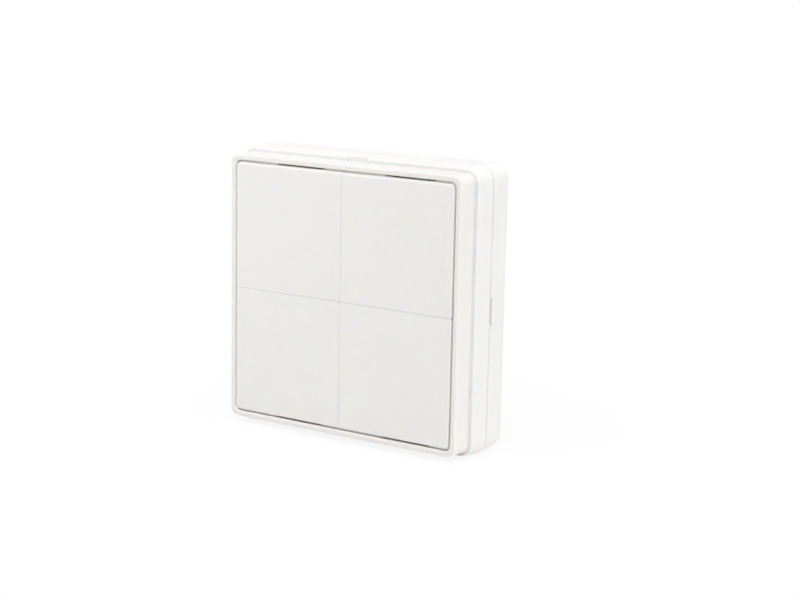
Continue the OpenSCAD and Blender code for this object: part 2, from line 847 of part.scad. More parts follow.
// Bent legs beside each switch body, standing on the board
module switch_legs() {
    color(METAL) stand_up() for (side = [-1, 1], level = [-1, 1]) in_quarter(side, level)
        translate([cap_mid, nib_y, board_top_z]) for (end = [-1, 1], row = [-1, 1])
            translate([0, row * leg_pitch / 2, 0]) mirror([end < 0 ? 1 : 0, 0, 0])
                translate([switch_side / 2, 0, 0]) along_y(leg_w) {
                    square([leg_t, leg_h]);
                    square([leg_foot, leg_t]);
                }
}

module radio_module() {
    color([0.08, 0.28, 0.30]) stand_up() translate([-radio_w / 2, radio_y - radio_h / 2, board_z - radio_t])
        cube([radio_w, radio_h, radio_t]);
}

// A metal can, open towards the module
module radio_shield() {
    wide = radio_w - 2 * shield_inset;
    color(METAL) stand_up()
        translate([-wide / 2, radio_y - radio_h / 2 + shield_inset, board_z - radio_t - shield_t])
            difference() {
                cube([wide, shield_h, shield_t]);
                translate([shield_wall, shield_wall, shield_wall])
                    cube([wide - 2 * shield_wall, shield_h - 2 * shield_wall, shield_t]);
            }
}

module chip_parts() {
    row_x = -(chip_count - 1) / 2 * chip_pitch - chip.x / 2;
    color([0.55, 0.47, 0.36]) stand_up() for (i = [0:chip_count - 1])
        translate([row_x + i * chip_pitch, radio_y, board_top_z]) cube(chip);
}

// Batteries and contacts

module cell_profile() {
    r = cell_d / 2;
    body_l = cell_l - terminal_l;
    difference() {
        square([r, body_l]);
        corner_off(r, body_l, cell_round, 1, 1);
        corner_off(r, 0, cell_round, 1, -1);
    }
    square([terminal_d / 2, cell_l]);
}

// A cell along x, with its terminal towards the given end
module cell(level, end) {
    color([0.25, 0.27, 0.30]) stand_up()
        translate([0, bay_y + level * cell_pitch / 2, cell_z]) rotate([0, end * 90, 0])
            translate([0, 0, -cell_l / 2]) rotate_extrude() cell_profile();
}

// A strip against the bay's end wall, seen from the +x end, reaching over the levels from low to high
module strip(low, high) {
    translate([strip_x, bay_y + low - contact_w / 2, cell_z - contact_h / 2])
        cube([strip_t, high - low + contact_w, contact_h]);
}

// A bowed leaf that presses on a cell's flat end
module bowed_leaf(level) {
    span = contact_w - 2 * leaf_inset;
    r = (span * span / 4 + bow_rise * bow_rise) / (2 * bow_rise);
    translate([0, bay_y + level * cell_pitch / 2, cell_z - contact_h / 4]) linear_extrude(contact_h / 2)
        intersection() {
            translate([strip_x - bow_rise, -span / 2]) square([bow_rise + eps, span]);
            translate([strip_x - bow_rise + r, 0]) difference() {
                circle(r);
                circle(r - strip_t);
            }
        }
}

// A round dimple that meets a cell's terminal
module dimple(level) {
    translate([strip_x - bow_rise, bay_y + level * cell_pitch / 2, cell_z]) rotate([0, 90, 0])
        cylinder(d1 = terminal_d / 2, d2 = terminal_d, h = bow_rise + eps);
}

module solder_tab(level) {
    low = cell_z + contact_h / 2 - eps;
    translate([strip_x, bay_y + level * cell_pitch / 2 - tab_w / 2, low])
        cube([strip_t, tab_w, tab_end_z - low]);
}

module contact_link() {
    color(METAL) stand_up() mirror([1, 0, 0]) {
        strip(-cell_pitch / 2, cell_pitch / 2);
        bowed_leaf(1);
        dimple(-1);
    }
}

module contact_positive() {
    color(METAL) stand_up() {
        strip(cell_pitch / 2, cell_pitch / 2);
        dimple(1);
        solder_tab(1);
    }
}

module contact_negative() {
    color(METAL) stand_up() {
        strip(-cell_pitch / 2, -cell_pitch / 2);
        bowed_leaf(-1);
        solder_tab(-1);
    }
}

wall_base();
mid_housing();
front_frame();
cap(-1, 1);  // cap_top_left
cap(1, 1);  // cap_top_right
cap(-1, -1);  // cap_bottom_left
cap(1, -1);  // cap_bottom_right
button_carrier();
circuit_board();
switch_body(-1, 1);  // switch_top_left
switch_body(1, 1);  // switch_top_right
switch_body(-1, -1);  // switch_bottom_left
switch_body(1, -1);  // switch_bottom_right
switch_plunger(-1, 1);  // plunger_top_left
switch_plunger(1, 1);  // plunger_top_right
switch_plunger(-1, -1);  // plunger_bottom_left
switch_plunger(1, -1);  // plunger_bottom_right
switch_covers();
switch_legs();
stop_pads();
carrier_screws();
cell(1, 1);  // battery_upper
cell(-1, -1);  // battery_lower
contact_link();
contact_positive();
contact_negative();
radio_module();
radio_shield();
chip_parts();
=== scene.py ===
"""Dresses a square wireless wall button: finishes for every piece, fine inner pieces, light and camera."""

import json
import math

import bmesh
import bpy
from mathutils import Matrix, Vector


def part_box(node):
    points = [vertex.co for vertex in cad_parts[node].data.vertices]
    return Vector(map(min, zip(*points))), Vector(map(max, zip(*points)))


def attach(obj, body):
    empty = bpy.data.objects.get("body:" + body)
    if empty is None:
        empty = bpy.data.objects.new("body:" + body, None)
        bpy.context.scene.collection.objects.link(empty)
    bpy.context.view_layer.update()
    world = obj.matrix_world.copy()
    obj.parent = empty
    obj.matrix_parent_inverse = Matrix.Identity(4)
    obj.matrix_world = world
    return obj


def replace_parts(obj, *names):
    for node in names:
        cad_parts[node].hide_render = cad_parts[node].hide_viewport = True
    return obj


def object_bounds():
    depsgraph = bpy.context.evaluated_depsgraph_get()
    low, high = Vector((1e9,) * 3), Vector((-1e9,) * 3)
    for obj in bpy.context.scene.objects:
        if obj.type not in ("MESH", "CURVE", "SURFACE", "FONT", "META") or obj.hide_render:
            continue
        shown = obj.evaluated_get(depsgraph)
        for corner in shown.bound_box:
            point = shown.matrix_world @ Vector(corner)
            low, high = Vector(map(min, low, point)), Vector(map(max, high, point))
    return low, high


bl_info = {
    "name": "Square Wall Button",
    "version": (1, 0, 0),
    "blender": (4, 5, 0),
    "location": "View3D > Sidebar > Wall Button",
    "description": "Finishes, fine pieces and a studio for a square wireless wall button",
    "category": "Object",
}

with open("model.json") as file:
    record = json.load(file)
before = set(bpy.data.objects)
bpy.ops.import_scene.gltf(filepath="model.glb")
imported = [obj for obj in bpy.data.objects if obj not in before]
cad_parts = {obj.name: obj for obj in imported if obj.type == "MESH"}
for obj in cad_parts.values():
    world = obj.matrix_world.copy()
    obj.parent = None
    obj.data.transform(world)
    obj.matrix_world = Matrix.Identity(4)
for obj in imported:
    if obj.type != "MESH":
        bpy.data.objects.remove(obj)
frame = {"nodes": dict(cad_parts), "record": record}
CAD_LOW, CAD_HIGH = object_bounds()
MM = 0.001
QUARTER_TURN = math.radians(90)
WHITE = (1.0, 1.0, 1.0, 1.0)


# Settings that a user would change

def colour_setting(name, description, default):
    """A colour, as the finish shows it under plain white light."""
    return bpy.props.FloatVectorProperty(
        name=name, description=description, subtype="COLOR", size=3, min=0.0, max=1.0, default=default
    )


def length_setting(name, description, default):
    """A length in metres."""
    return bpy.props.FloatProperty(
        name=name, description=description, unit="LENGTH", min=0.0, default=default
    )


def share_setting(name, description, default):
    """A number from 0 to 1."""
    return bpy.props.FloatProperty(
        name=name, description=description, subtype="FACTOR", min=0.0, max=1.0, default=default
    )


def power_setting(name, description, default):
    """A lamp's power in watts."""
    return bpy.props.FloatProperty(
        name=name, description=description, subtype="POWER", min=0.0, default=default
    )


def place_setting(name, description, default):
    """A point in the part's own frame, in metres."""
    return bpy.props.FloatVectorProperty(
        name=name, description=description, subtype="TRANSLATION", unit="LENGTH", size=3, default=default
    )


class WallButtonFinish(bpy.types.PropertyGroup):
    """Colours and surface detail of the finishes."""

    caps: colour_setting("Caps", "White of the four rocking caps", (0.885, 0.877, 0.860))
    frame: colour_setting("Front frame", "Slightly warmer white of the front frame", (0.877, 0.859, 0.839))
    shell: colour_setting("Shell", "White of the mid housing and the wall base", (0.890, 0.882, 0.865))
    carrier: colour_setting("Carrier", "Plain inner plastic, a little warm", (0.70, 0.665, 0.625))
    board: colour_setting("Board", "Green solder mask", (0.02, 0.16, 0.07))
    metal: colour_setting("Metal", "Plated steel", (0.62, 0.61, 0.58))
    black: colour_setting("Black plastic", "Switch bodies and plungers", (0.018, 0.018, 0.02))
    rubber: colour_setting("Rubber", "Stop pads", (0.03, 0.03, 0.032))
    jacket: colour_setting("Cell jacket", "Plain jacket of the cells", (0.055, 0.06, 0.07))
    module: colour_setting("Radio board", "Dark solder mask of the radio module", (0.008, 0.05, 0.06))
    ceramic: colour_setting("Chips", "Ceramic of the small parts", (0.26, 0.19, 0.12))
    solder: colour_setting("Solder", "Bright solder", (0.72, 0.72, 0.73))
    gilt: colour_setting("Gilt copper", "Gilded copper of the antenna and the pads", (0.83, 0.58, 0.25))
    roughness: share_setting("Roughness", "Roughness of the white plastic", 0.42)
    scatter: share_setting("Scatter", "Share of the light that goes into the white plastic", 1.0)
    scatter_depth: length_setting("Scatter depth", "Depth that light reaches in the white plastic", 0.4 * MM)
    grain: length_setting("Grain", "Size of the moulded grain of the white plastic", 0.45 * MM)
    ripple: length_setting("Ripple", "Size of the faint ripple of the white plastic", 7.0 * MM)


class WallButtonDetail(bpy.types.PropertyGroup):
    """Sizes of the fine pieces inside."""

    jacket_t: length_setting("Jacket", "Thickness of a cell's jacket", 0.2 * MM)
    jacket_lip: length_setting("Jacket lip", "How far the jacket is rolled in over a cell's ends", 0.9 * MM)
    jacket_round: length_setting("Jacket rounding", "Rounding of the jacket's ends", 0.6 * MM)
    nub_r: length_setting("Terminal radius", "Radius of a cell's raised terminal", 1.9 * MM)
    nub_l: length_setting("Terminal length", "Length of a cell's raised terminal", 0.9 * MM)
    solder_r: length_setting("Solder radius", "Radius of a solder joint on the board", 0.7 * MM)
    solder_h: length_setting("Solder height", "Height of a solder joint above the board", 0.4 * MM)
    leg_pitch: length_setting("Leg pitch", "Distance between the legs on a side of a switch", 4.5 * MM)
    leg_reach: length_setting("Leg reach", "Distance of a leg's solder from the switch body", 0.9 * MM)
    tab_inset: length_setting("Tab inset", "Distance of a contact's solder from its outer face", 0.2 * MM)
    trace: length_setting("Antenna trace", "Width of the antenna's trace on the radio board", 0.55 * MM)
    copper_t: length_setting("Copper", "Thickness of the copper on the radio board", 0.05 * MM)
    pad_pitch: length_setting("Pad pitch", "Distance between the pads along the radio board", 1.27 * MM)
    pad_l: length_setting("Pad length", "Length of a pad on the radio board", 1.0 * MM)
    pad_w: length_setting("Pad width", "Width of a pad on the radio board", 0.8 * MM)
    chip_l: length_setting("Chip length", "Length of a small chip on the board", 2.0 * MM)
    chip_pitch: length_setting("Chip pitch", "Distance between the chips in their row", 3.0 * MM)
    chip_end: length_setting("Chip end", "Length of the metal end of a chip", 0.45 * MM)
    chip_plate: length_setting("Chip plating", "Thickness of the metal on a chip's end", 0.03 * MM)


class WallButtonStage(bpy.types.PropertyGroup):
    """Camera, lamps and floor."""

    camera_place: place_setting("Camera", "Where the camera stands", (0.29986, -0.45234, 0.10624))
    camera_aim: place_setting("Aim", "Point that the camera looks at", (0.01348, -0.012, 0.00049))
    camera_roll: bpy.props.FloatProperty(
        name="Roll", description="Roll of the camera", subtype="ANGLE", default=math.radians(1.166)
    )
    lens: bpy.props.FloatProperty(
        name="Lens", description="Focal length on a 36 mm sensor", subtype="DISTANCE_CAMERA", default=80.954
    )
    top_power: power_setting("Top lamp", "Large soft lamp above the object", 4.0)
    front_power: power_setting("Front lamp", "Large soft lamp above, in front of the object", 4.5)
    right_power: power_setting("Right lamp", "Soft lamp to the right of the object", 1.6)
    left_power: power_setting("Left lamp", "Small lamp near the front, to the left", 0.095)
    sky: bpy.props.FloatProperty(
        name="Sky", description="Light that comes from all round, as in a white tent", min=0.0, default=0.43
    )
    sky_lean: bpy.props.FloatVectorProperty(
        name="Sky lean", description="How much brighter the sky is along X, Y and Z",
        size=3, default=(0.34, 0.22, 0.0)
    )
    floor: share_setting("Floor", "How much light the floor gives back", 0.96)
    shadow: share_setting("Shadow", "How much of the object's shadow the floor shows", 0.13)
    shadow_near: length_setting("Shadow full to", "Distance up to which the shadow shows fully", 0.045)
    shadow_far: length_setting("Shadow gone at", "Distance at which the shadow has faded out", 0.12)


# Node helpers

def new_material(name):
    """A material, its node tree and its shader."""
    material = bpy.data.materials.new(name)
    material.use_nodes = True
    tree = material.node_tree
    return material, tree, tree.nodes["Principled BSDF"]


def object_coordinates(tree, scale=(1.0, 1.0, 1.0), turn=(0.0, 0.0, 0.0)):
    """Object coordinates through a mapping, so that a pattern can be stretched and turned."""
    source = tree.nodes.new("ShaderNodeTexCoord")
    mapping = tree.nodes.new("ShaderNodeMapping")
    mapping.inputs["Scale"].default_value = scale
    mapping.inputs["Rotation"].default_value = turn
    tree.links.new(source.outputs["Object"], mapping.inputs["Vector"])
    return mapping.outputs["Vector"]


def noise(tree, vector, size, detail=2.0):
    """Noise whose patches are about the given size across, in metres."""
    node = tree.nodes.new("ShaderNodeTexNoise")
    node.inputs["Scale"].default_value = 1.0 / size
    node.inputs["Detail"].default_value = detail
    tree.links.new(vector, node.inputs["Vector"])
    return node.outputs["Fac"]


def calculate(tree, operation, first, second):
    """A value worked out from two others, each of them a socket or a number."""
    node = tree.nodes.new("ShaderNodeMath")
    node.operation = operation
    for socket, value in zip(node.inputs, (first, second)):
        if isinstance(value, bpy.types.NodeSocket):
            tree.links.new(value, socket)
        else:
            socket.default_value = value
    return node.outputs["Value"]


def spread(tree, value, low, high, start=0.0, end=1.0, shape="LINEAR"):
    """The value, from start to end, spread from low to high."""
    node = tree.nodes.new("ShaderNodeMapRange")
    node.interpolation_type = shape
    node.inputs["From Min"].default_value = start
    node.inputs["From Max"].default_value = end
    node.inputs["To Min"].default_value = low
    node.inputs["To Max"].default_value = high
    tree.links.new(value, node.inputs["Value"])
    return node.outputs["Result"]


def vary_colour(tree, value, colour, tints):
    """The colour between two tints of it, by a value from 0 to 1. A tint of 1 is the colour itself."""
    node = tree.nodes.new("ShaderNodeMix")
    node.data_type = "RGBA"
    ends = [socket for socket in node.inputs if socket.type == "RGBA"]
    for socket, tint in zip(ends, tints):
        socket.default_value = (*[min(1.0, part * tint) for part in colour], 1.0)
    tree.links.new(value, node.inputs["Factor"])
    return next(socket for socket in node.outputs if socket.type == "RGBA")


def bump(tree, height, depth, below=None):
    """A bump of the given depth in metres, on top of another where one is given."""
    node = tree.nodes.new("ShaderNodeBump")
    node.inputs["Distance"].default_value = depth
    tree.links.new(height, node.inputs["Height"])
    if below is not None:
        tree.links.new(below, node.inputs["Normal"])
    return node.outputs["Normal"]


def show_either(tree, share, first, second, output):
    """Sends a mix of two shaders to the output: the first where the share is 0, the second where it is 1."""
    mix = tree.nodes.new("ShaderNodeMixShader")
    tree.links.new(share, mix.inputs["Fac"])
    tree.links.new(first, mix.inputs[1])
    tree.links.new(second, mix.inputs[2])
    tree.links.new(mix.outputs["Shader"], tree.nodes[output].inputs["Surface"])


# White plastic

# Its patches of colour and of sheen, and how far they vary
FLOW_SIZE = 20 * MM
FLOW_TINTS = (0.985, 1.012)
SHEEN_SIZE = 6 * MM
SHEEN_RANGE = 0.05
RIPPLE_DEPTH = 0.02 * MM
PLASTIC_IOR = 1.5
# How far red, green and blue light go into it, as shares of its scatter depth
SCATTER_SHARES = (1.0, 0.85, 0.7)


def moulded_white(name, colour, settings, grain_depth):
    """Satin white plastic: a faint flow in its colour, an uneven sheen, a faint ripple and a fine grain."""
    material, tree, shader = new_material(name)
    place = object_coordinates(tree)
    flow = noise(tree, place, FLOW_SIZE)
    tree.links.new(vary_colour(tree, flow, colour, FLOW_TINTS), shader.inputs["Base Color"])
    patches = noise(tree, place, SHEEN_SIZE)
    sheen = spread(tree, patches, settings.roughness - SHEEN_RANGE, settings.roughness + SHEEN_RANGE)
    tree.links.new(sheen, shader.inputs["Roughness"])
    ripple = bump(tree, noise(tree, place, settings.ripple, detail=1.0), RIPPLE_DEPTH)
    grain = bump(tree, noise(tree, place, settings.grain, detail=3.0), grain_depth, ripple)
    tree.links.new(grain, shader.inputs["Normal"])
    shader.inputs["IOR"].default_value = PLASTIC_IOR
    shader.inputs["Subsurface Weight"].default_value = settings.scatter
    shader.inputs["Subsurface Radius"].default_value = SCATTER_SHARES
    shader.inputs["Subsurface Scale"].default_value = settings.scatter_depth
    return material


# Plain finishes of the inside

# Their patches, and how far the colour and the roughness vary
PATCH_SIZE = 5 * MM
PATCH_TINTS = (0.92, 1.06)
PATCH_RANGE = 0.06


def plain_plastic(name, colour, rough, grain, depth):
    """Inner plastic, rubber, jacket or ceramic, with an even grain of the given size and depth."""
    material, tree, shader = new_material(name)
    place = object_coordinates(tree)
    patches = noise(tree, place, PATCH_SIZE)
    tree.links.new(vary_colour(tree, patches, colour, PATCH_TINTS), shader.inputs["Base Color"])
    sheen = spread(tree, patches, rough - PATCH_RANGE, rough + PATCH_RANGE)
    tree.links.new(sheen, shader.inputs["Roughness"])
    tree.links.new(bump(tree, noise(tree, place, grain, detail=3.0), depth), shader.inputs["Normal"])
    return material


# Circuit boards

# The tracks run as square rings in cells of this size
TRACK_CELL = 9 * MM
# Half the distance from track to track and the edge of a track, as shares of a cell
TRACK_HALF_PITCH = 0.08
TRACK_EDGE = (0.045, 0.055)
TRACK_TINTS = (1.0, 1.4)
TRACK_HEIGHT = 0.03 * MM
# Patches of the mask, and its roughness
MASK_PATCH = 2 * MM
MASK_ROUGH = (0.24, 0.36)


def solder_mask(name, colour):
    """Circuit board: solder mask over copper tracks, which show as lighter ridges with square corners."""
    material, tree, shader = new_material(name)
    cells = tree.nodes.new("ShaderNodeTexVoronoi")
    cells.voronoi_dimensions = "2D"
    cells.distance = "CHEBYCHEV"
    cells.inputs["Scale"].default_value = 1.0 / TRACK_CELL
    tree.links.new(object_coordinates(tree, turn=(QUARTER_TURN, 0.0, 0.0)), cells.inputs["Vector"])
    rings = calculate(tree, "PINGPONG", cells.outputs["Distance"], TRACK_HALF_PITCH)
    tracks = spread(tree, rings, 0.0, 1.0, *TRACK_EDGE)
    tree.links.new(vary_colour(tree, tracks, colour, TRACK_TINTS), shader.inputs["Base Color"])
    patches = noise(tree, object_coordinates(tree), MASK_PATCH)
    tree.links.new(spread(tree, patches, *MASK_ROUGH), shader.inputs["Roughness"])
    tree.links.new(bump(tree, tracks, TRACK_HEIGHT), shader.inputs["Normal"])
    return material


# Bright metal

# Its rolling marks are drawn out along Z, and vary in colour and roughness
MARK_STRETCH = (1.0, 1.0, 0.06)
MARK_TINTS = (0.86, 1.08)
MARK_ROUGH = (0.24, 0.42)
MARK_DEPTH = 0.004 * MM


def plated_metal(name, colour, size):
    """Bright metal with fine rolling marks of the given width."""
    material, tree, shader = new_material(name)
    marks = noise(tree, object_coordinates(tree, scale=MARK_STRETCH), size, detail=4.0)
    tree.links.new(vary_colour(tree, marks, colour, MARK_TINTS), shader.inputs["Base Color"])
    tree.links.new(spread(tree, marks, *MARK_ROUGH), shader.inputs["Roughness"])
    tree.links.new(bump(tree, marks, MARK_DEPTH), shader.inputs["Normal"])
    shader.inputs["Metallic"].default_value = 1.0
    return material


# Operators that finish the CAD nodes

def finish_node(name, material):
    """Gives a CAD node its material."""
    frame["nodes"][name].material_slots[0].material = material


class WALL_BUTTON_OT_shell(bpy.types.Operator):
    """Finish the wall base, the mid housing and the front frame"""

    bl_idname = "wall_button.shell"
    bl_label = "Shell"

    def execute(self, context):
        settings = context.scene.wall_button_finish
        shell = moulded_white("satin_shell", settings.shell, settings, grain_depth=0.006 * MM)
        for name in ("wall_base", "mid_housing"):
            finish_node(name, shell)
        front = moulded_white("satin_frame", settings.frame, settings, grain_depth=0.005 * MM)
        finish_node("front_frame", front)
        return {"FINISHED"}


class WALL_BUTTON_OT_caps(bpy.types.Operator):
    """Finish the four rocking caps"""

    bl_idname = "wall_button.caps"
    bl_label = "Caps"

    def execute(self, context):
        settings = context.scene.wall_button_finish
        smooth = moulded_white("smooth_caps", settings.caps, settings, grain_depth=0.002 * MM)
        for name in frame["nodes"]:
            if name.startswith("cap_"):
                finish_node(name, smooth)
        return {"FINISHED"}


class WALL_BUTTON_OT_inside(bpy.types.Operator):
    """Finish the pieces inside, and make ready the metals of the fine pieces"""

    bl_idname = "wall_button.inside"
    bl_label = "Inside"

    def execute(self, context):
        settings = context.scene.wall_button_finish
        finishes = {
            "carrier": plain_plastic(
                "inner_plastic", settings.carrier, rough=0.5, grain=0.5 * MM, depth=0.01 * MM
            ),
            "board": solder_mask("green_mask", settings.board),
            "module_board": solder_mask("dark_mask", settings.module),
            "switch_black": plain_plastic(
                "black_plastic", settings.black, rough=0.42, grain=0.3 * MM, depth=0.008 * MM
            ),
            "metal": plated_metal("plated_steel", settings.metal, size=0.3 * MM),
            "rubber": plain_plastic(
                "soft_rubber", settings.rubber, rough=0.75, grain=0.2 * MM, depth=0.02 * MM
            ),
            "cell_jacket": plain_plastic(
                "cell_jacket", settings.jacket, rough=0.3, grain=1.5 * MM, depth=0.004 * MM
            ),
            "chips": plain_plastic(
                "chip_ceramic", settings.ceramic, rough=0.55, grain=0.1 * MM, depth=0.01 * MM
            ),
        }
        for row in frame["record"]["subparts"]:
            if row["material_slot"] in finishes:
                finish_node(row["node"], finishes[row["material_slot"]])
        plated_metal("bright_solder", settings.solder, size=0.8 * MM)
        plated_metal("gilt_copper", settings.gilt, size=0.4 * MM)
        return {"FINISHED"}


# Mesh helpers

# Points closer than this are taken as one
NEAR = 0.005 * MM
# Edges sharper than this are shown as edges
SHARP = math.radians(35)
SPIN_STEPS = 64
BEVEL_STEPS = 4


def spun(profile):
    """A round body about the X axis, spun from (x, radius) points that run along it."""
    bm = bmesh.new()
    rim = [bm.verts.new((x, 0.0, radius)) for x, radius in profile]
    edges = [bm.edges.new(pair) for pair in zip(rim, rim[1:])]
    bmesh.ops.spin(
        bm, geom=rim + edges, cent=(0.0, 0.0, 0.0), axis=(1.0, 0.0, 0.0), dvec=(0.0, 0.0, 0.0),
        angle=2 * math.pi, steps=SPIN_STEPS, use_merge=True, use_duplicate=False
    )
    bmesh.ops.remove_doubles(bm, verts=bm.verts, dist=NEAR)
    bmesh.ops.recalc_face_normals(bm, faces=bm.faces)
    return bm


def round_edges(bm, edges, size):
    """Rounds edges to the given radius."""
    bmesh.ops.bevel(
        bm, geom=edges, offset=size, affect="EDGES", segments=BEVEL_STEPS, profile=0.5, material=-1
    )


def rim_edges(bm, x, radius):
    """The edges of the ring at a place along the X axis."""
    def on_ring(vert):
        return abs(vert.co.x - x) < NEAR and abs(math.hypot(vert.co.y, vert.co.z) - radius) < NEAR
    return [edge for edge in bm.edges if all(on_ring(vert) for vert in edge.verts)]


def block(bm, low, high):
    """Adds a box between two corners."""
    size = Matrix.Diagonal((*(high - low), 1.0))
    bmesh.ops.create_cube(bm, size=1.0, matrix=Matrix.Translation((low + high) / 2) @ size)


def make_object(name, bm):
    """Makes an object of the bmesh, at the origin."""
    mesh = bpy.data.meshes.new(name)
    bm.to_mesh(mesh)
    bm.free()
    made = bpy.data.objects.new(name, mesh)
    bpy.context.scene.collection.objects.link(made)
    return made


def add_piece(name, bm, material):
    """Makes a piece of the bmesh, which moves with the housing."""
    piece = make_object(name, bm)
    piece.data.shade_smooth()
    piece.data.set_sharp_from_angle(angle=SHARP)
    piece.data.materials.append(bpy.data.materials[material])
    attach(piece, "housing")
    return piece


# Cells

# Each cell: its name, the node that it replaces, and its turn about Z
CELLS = (
    ("cell_upper", "battery_upper", 0.0),
    ("cell_lower", "battery_lower", math.pi),
)
# How far the jacket stands back from the cell's flat end, as a share of its thickness
JACKET_INSET = 0.5
# The raised middle of the flat end, at its top and its foot, as shares of the cell's radius
FLAT_TOP = 0.55
FLAT_FOOT = 0.62
# The foot of the raised terminal, as a share of the terminal's radius
NUB_FOOT = 1.3


def cell_jacket(half, radius, detail):
    """The jacket of a cell along X: a thin sleeve, rolled in over both ends."""
    wall = detail.jacket_t
    lip = radius - detail.jacket_lip
    left = -half + JACKET_INSET * wall
    right = half - detail.nub_l
    bm = spun([
        (left, lip), (left, radius), (right, radius), (right, lip), (right - wall, lip),
        (right - wall, radius - wall), (left + wall, radius - wall), (left + wall, lip), (left, lip),
    ])
    round_edges(bm, rim_edges(bm, left, radius) + rim_edges(bm, right, radius), detail.jacket_round)
    return bm


def cell_can(half, radius, detail):
    """The steel can of a cell along X, with its flat end at the left and its raised terminal at the right."""
    wall = detail.jacket_t
    inner = radius - wall - NEAR
    left = -half + (1.0 + JACKET_INSET) * wall
    right = half - detail.nub_l - wall
    bm = spun([
        (-half, 0.0), (-half, FLAT_TOP * radius), (left, FLAT_FOOT * radius), (left, inner), (right, inner),
        (right, NUB_FOOT * detail.nub_r), (right + wall, detail.nub_r), (half, detail.nub_r), (half, 0.0),
    ])
    round_edges(bm, rim_edges(bm, half, detail.nub_r), wall)
    return bm


class WALL_BUTTON_OT_cells(bpy.types.Operator):
    """Spin the two cells, each a steel can in a rolled jacket"""

    bl_idname = "wall_button.cells"
    bl_label = "Cells"

    def execute(self, context):
        detail = context.scene.wall_button_detail
        for name, node, turn in CELLS:
            low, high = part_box(node)
            size = high - low
            place = Matrix.Translation((low + high) / 2) @ Matrix.Rotation(turn, 4, "Z")
            jacket = cell_jacket(size.x / 2, size.z / 2, detail)
            can = cell_can(size.x / 2, size.z / 2, detail)
            for bm in (jacket, can):
                bmesh.ops.transform(bm, matrix=place, verts=bm.verts)
            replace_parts(add_piece(name + "_jacket", jacket, "cell_jacket"), node)
            add_piece(name + "_can", can, "plated_steel")
        return {"FINISHED"}


# Solder on the board

DOME_STEPS = 16
DOME_RINGS = 10


def solder_places(front, detail):
    """Where the switch legs and the contact tabs are soldered to the board's front."""
    places = []
    for name in frame["nodes"]:
        if name.startswith("switch_") and name not in ("switch_covers", "switch_legs"):
            low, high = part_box(name)
            middle = (low + high) / 2
            reach = (high.x - low.x) / 2 + detail.leg_reach
            for side in (-1, 1):
                for level in (-1, 1):
                    z = middle.z + level * detail.leg_pitch / 2
                    places.append(Vector((middle.x + side * reach, front, z)))
    for name in ("contact_positive", "contact_negative"):
        low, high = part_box(name)
        places.append(Vector((high.x - detail.tab_inset, front, (low.z + high.z) / 2)))
    return places


class WALL_BUTTON_OT_solder(bpy.types.Operator):
    """Put a dome of solder on each switch leg and contact tab"""

    bl_idname = "wall_button.solder"
    bl_label = "Solder"

    def execute(self, context):
        detail = context.scene.wall_button_detail
        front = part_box("circuit_board")[0].y
        bm = bmesh.new()
        flat = Matrix.Diagonal((1.0, detail.solder_h / detail.solder_r, 1.0, 1.0))
        for place in solder_places(front, detail):
            bmesh.ops.create_uvsphere(
                bm, u_segments=DOME_STEPS, v_segments=DOME_RINGS, radius=detail.solder_r,
                matrix=Matrix.Translation(place) @ flat
            )
        everything = bm.verts[:] + bm.edges[:] + bm.faces[:]
        bmesh.ops.bisect_plane(
            bm, geom=everything, dist=NEAR, plane_co=(0.0, front, 0.0), plane_no=(0.0, 1.0, 0.0),
            clear_outer=True
        )
        bmesh.ops.holes_fill(bm, edges=bm.edges, sides=0)
        bmesh.ops.recalc_face_normals(bm, faces=bm.faces)
        add_piece("solder_joints", bm, "bright_solder")
        return {"FINISHED"}


# Chips on the board

class WALL_BUTTON_OT_chips(bpy.types.Operator):
    """Plate both ends of each small chip with metal"""

    bl_idname = "wall_button.chips"
    bl_label = "Chip ends"

    def execute(self, context):
        detail = context.scene.wall_button_detail
        low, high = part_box("chip_parts")
        plate = detail.chip_plate
        count = 1 + round((high.x - low.x - detail.chip_l) / detail.chip_pitch)
        bm = bmesh.new()
        for index in range(count):
            left = low.x + index * detail.chip_pitch
            right = left + detail.chip_l
            ends = ((left - plate, left + detail.chip_end), (right - detail.chip_end, right + plate))
            for start, end in ends:
                near = Vector((start, low.y - plate, low.z - plate))
                far = Vector((end, high.y, high.z + plate))
                block(bm, near, far)
        round_edges(bm, bm.edges[:], plate)
        add_piece("chip_ends", bm, "bright_solder")
        return {"FINISHED"}


# Copper on the radio board

def antenna(low, high, back, detail):
    """A meander of flat copper between two corners on the radio board's back."""
    bm = bmesh.new()
    columns = int((high.x - low.x) / detail.trace)
    rows = int((high.z - low.z) / detail.trace)
    middle = (low + high) / 2
    stretch = Matrix.Diagonal((columns * detail.trace, rows * detail.trace, 1.0, 1.0))
    upright = Matrix.Translation((middle.x, back, middle.z)) @ Matrix.Rotation(QUARTER_TURN, 4, "X")
    bmesh.ops.create_grid(bm, x_segments=columns, y_segments=rows, size=0.5, matrix=upright @ stretch)
    # Every second column is bare, but for one face at its top or its bottom by turns, which links its sides
    bare = []
    for face in bm.faces:
        spot = face.calc_center_median()
        column = int((spot.x - middle.x) / detail.trace + columns / 2)
        row = int((spot.z - middle.z) / detail.trace + rows / 2)
        link = rows - 1 if column % 4 == 1 else 0
        if column % 2 == 1 and row != link:
            bare.append(face)
    bmesh.ops.delete(bm, geom=bare, context="FACES")
    bmesh.ops.solidify(bm, geom=bm.faces, thickness=detail.copper_t)
    bmesh.ops.recalc_face_normals(bm, faces=bm.faces)
    return bm


